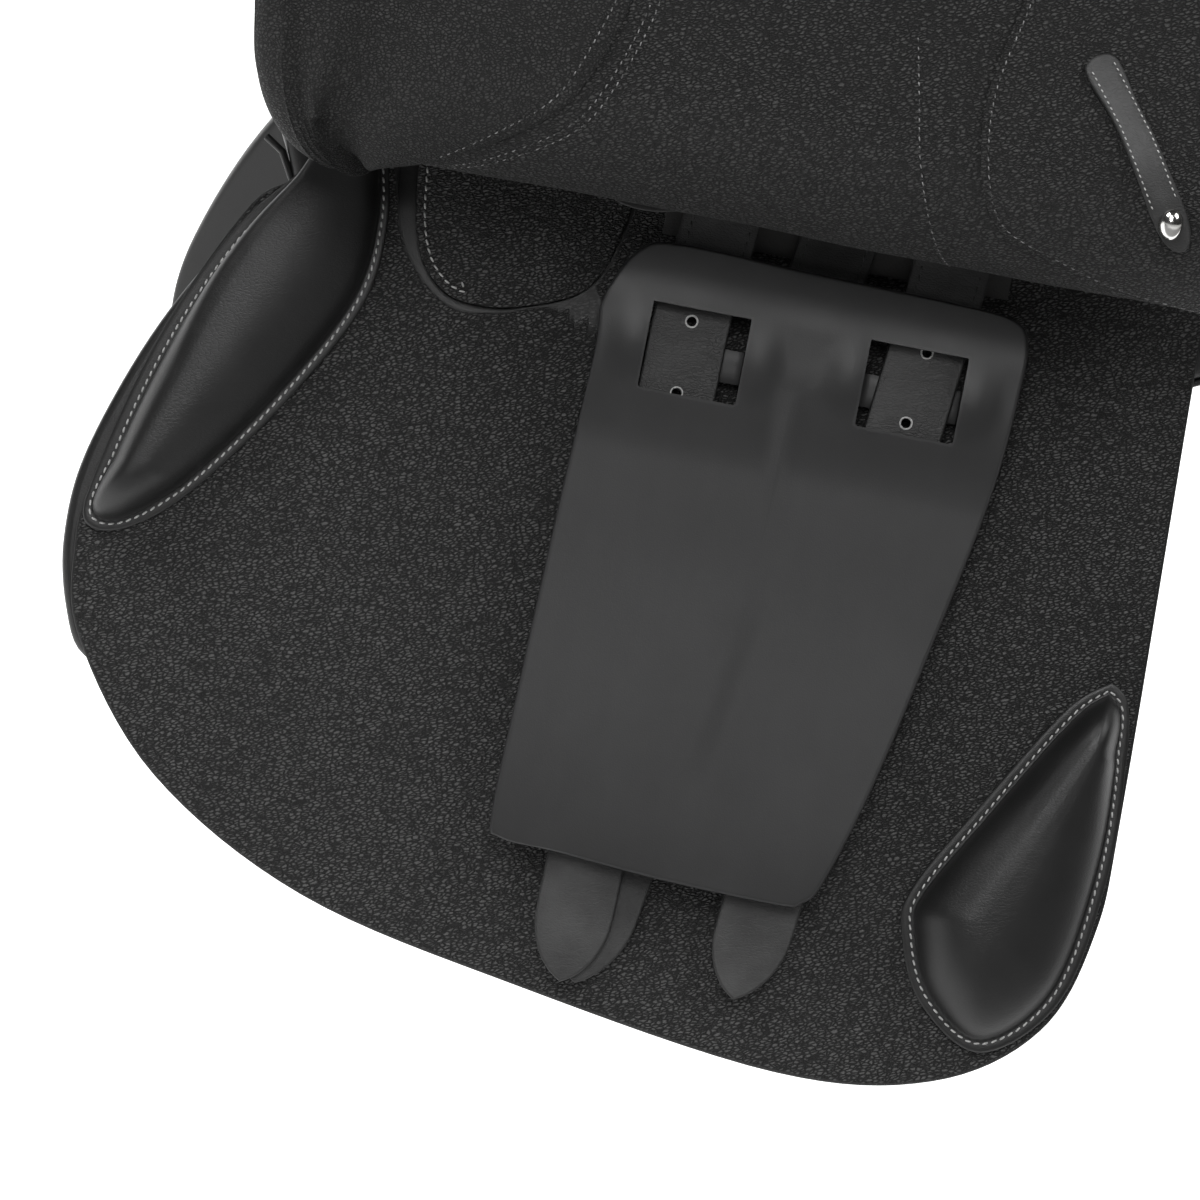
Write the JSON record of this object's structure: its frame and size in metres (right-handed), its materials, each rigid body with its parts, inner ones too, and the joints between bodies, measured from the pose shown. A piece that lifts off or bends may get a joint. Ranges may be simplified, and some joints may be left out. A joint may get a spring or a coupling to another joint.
{
  "type": "jumping saddle",
  "caption": "Close-contact jumping saddle with double flaps, knee and thigh blocks, girth straps and a threaded girth guard; one outer flap is lifted and rolled over.",
  "frame": {"origin": "middle of the channel between the panels, level with the line where they bear on the back", "axes": "front at -X, left side at -Y, up +Z"},
  "size_m": [0.5297, 0.4771, 0.5006],
  "materials": {
    "grained_leather": "pebble grain, black",
    "guard_leather": "smooth, charcoal",
    "laminated_tree": "satin",
    "lining_leather": "matt smooth, black",
    "polished_nickel": "polished",
    "seat_foam": "matt, cream",
    "smooth_calf": "smooth, black",
    "strap_leather": "smooth, black",
    "tree_steel": "satin",
    "woven_webbing": "close weave, black"
  },
  "bodies": {
    "saddle": {"tree": "laminated_tree", "seat_web": "woven_webbing", "gullet_plate": "tree_steel", "seat_cover": "smooth_calf", "seat_foam": "seat_foam", "panel_left": "smooth_calf", "sweat_flap_left": "grained_leather", "knee_block_left": "smooth_calf", "thigh_block_left": "smooth_calf", "point_pocket_left": "smooth_calf", "billet_webbing_left": "woven_webbing", "flap_fixing_left": "grained_leather", "stirrup_bar_left": "tree_steel", "dee_chape_left": "strap_leather", "panel_right": "smooth_calf", "sweat_flap_right": "grained_leather", "knee_block_right": "smooth_calf", "thigh_block_right": "smooth_calf", "point_pocket_right": "smooth_calf", "billet_webbing_right": "woven_webbing", "flap_fixing_right": "grained_leather", "stirrup_bar_right": "tree_steel", "dee_chape_right": "strap_leather"},
    "flap_upper_left": {"flap_bend_1_left": "grained_leather"},
    "flap_middle_left": {"flap_bend_2_left": "grained_leather"},
    "flap_left": {"outer_flap_left": "grained_leather", "lining_front_left": "lining_leather", "lining_rear_left": "lining_leather", "flap_pad_left": "smooth_calf", "keeper_strap_left": "strap_leather", "keeper_stud_left": "polished_nickel"},
    "skirt_left": {"skirt_left": "smooth_calf"},
    "billets_left": {"billet_front_left": "strap_leather", "billet_middle_left": "strap_leather", "billet_rear_left": "strap_leather"},
    "guard_left": {"girth_guard_left": "guard_leather"},
    "dee_left": {"front_dee_left": "polished_nickel"},
    "catch_left": {"stirrup_catch_left": "tree_steel"},
    "flap_upper_right": {"flap_bend_1_right": "grained_leather"},
    "flap_middle_right": {"flap_bend_2_right": "grained_leather"},
    "flap_right": {"outer_flap_right": "grained_leather", "lining_front_right": "lining_leather", "lining_rear_right": "lining_leather", "flap_pad_right": "smooth_calf", "keeper_strap_right": "strap_leather", "keeper_stud_right": "polished_nickel"},
    "skirt_right": {"skirt_right": "smooth_calf"},
    "billets_right": {"billet_front_right": "strap_leather", "billet_middle_right": "strap_leather", "billet_rear_right": "strap_leather"},
    "guard_right": {"girth_guard_right": "guard_leather"},
    "dee_right": {"front_dee_right": "polished_nickel"},
    "catch_right": {"stirrup_catch_right": "tree_steel"}
  },
  "joints": [
    {"name": "flap_bend_1_left", "type": "hinge", "parent": "saddle", "child": "flap_upper_left", "pos_m": [0, -0.16165, 0.01251], "axis": [1, 0, 0], "range_deg": [0, 65]},
    {"name": "flap_bend_2_left", "type": "hinge", "parent": "flap_upper_left", "child": "flap_middle_left", "pos_m": [0, -0.2041, 0.00502], "axis": [1, 0, 0], "range_deg": [0, 65]},
    {"name": "flap_bend_3_left", "type": "hinge", "parent": "flap_middle_left", "child": "flap_left", "pos_m": [0, -0.22883, 0.04033], "axis": [1, 0, 0], "range_deg": [0, 65]},
    {"name": "skirt_lift_left", "type": "hinge", "parent": "saddle", "child": "skirt_left", "pos_m": [-0.192, -0.0559, 0.1324], "axis": [-0.9715, 0.2269, 0.0683], "range_deg": [0, 20]},
    {"name": "billet_swing_left", "type": "hinge", "parent": "saddle", "child": "billets_left", "pos_m": [-0.0408, -0.13622, 0.01558], "axis": [0, -0.9659, 0.2588], "range_deg": [-3, 3]},
    {"name": "guard_slide_left", "type": "slide", "parent": "billets_left", "child": "guard_left", "axis": [0, -0.2588, -0.9659], "range_m": [-0.008, 0.008]},
    {"name": "dee_swing_left", "type": "hinge", "parent": "saddle", "child": "dee_left", "pos_m": [-0.2165, -0.14686, 0.06088], "axis": [-1, 0, 0], "range_deg": [0, 120]},
    {"name": "catch_turn_left", "type": "hinge", "parent": "saddle", "child": "catch_left", "pos_m": [-0.1138, -0.15416, 0.06491], "axis": [0, -0.9659, 0.2588], "range_deg": [0, 60]},
    {"name": "flap_bend_1_right", "type": "hinge", "parent": "saddle", "child": "flap_upper_right", "pos_m": [0, 0.16165, 0.01251], "axis": [1, 0, 0], "range_deg": [0, 65]},
    {"name": "flap_bend_2_right", "type": "hinge", "parent": "flap_upper_right", "child": "flap_middle_right", "pos_m": [0, 0.17281, -0.02914], "axis": [1, 0, 0], "range_deg": [0, 65]},
    {"name": "flap_bend_3_right", "type": "hinge", "parent": "flap_middle_right", "child": "flap_right", "pos_m": [0, 0.18396, -0.07078], "axis": [1, 0, 0], "range_deg": [0, 65]},
    {"name": "skirt_lift_right", "type": "hinge", "parent": "saddle", "child": "skirt_right", "pos_m": [-0.192, 0.0559, 0.1324], "axis": [0.9715, 0.2269, -0.0683], "range_deg": [0, 20]},
    {"name": "billet_swing_right", "type": "hinge", "parent": "saddle", "child": "billets_right", "pos_m": [-0.0408, 0.13622, 0.01558], "axis": [0, 0.9659, 0.2588], "range_deg": [-3, 3]},
    {"name": "guard_slide_right", "type": "slide", "parent": "billets_right", "child": "guard_right", "axis": [0, 0.2588, -0.9659], "range_m": [-0.008, 0.008]},
    {"name": "dee_swing_right", "type": "hinge", "parent": "saddle", "child": "dee_right", "pos_m": [-0.2165, 0.14686, 0.06088], "axis": [1, 0, 0], "range_deg": [0, 120]},
    {"name": "catch_turn_right", "type": "hinge", "parent": "saddle", "child": "catch_right", "pos_m": [-0.1138, 0.15416, 0.06491], "axis": [0, -0.9659, -0.2588], "range_deg": [0, 60]}
  ],
  "couplings": [
    {"joint": "flap_bend_2_left", "follows": "flap_bend_1_left", "ratio": 1},
    {"joint": "flap_bend_3_left", "follows": "flap_bend_1_left", "ratio": 1},
    {"joint": "flap_bend_2_right", "follows": "flap_bend_1_right", "ratio": 1},
    {"joint": "flap_bend_3_right", "follows": "flap_bend_1_right", "ratio": 1}
  ]
}
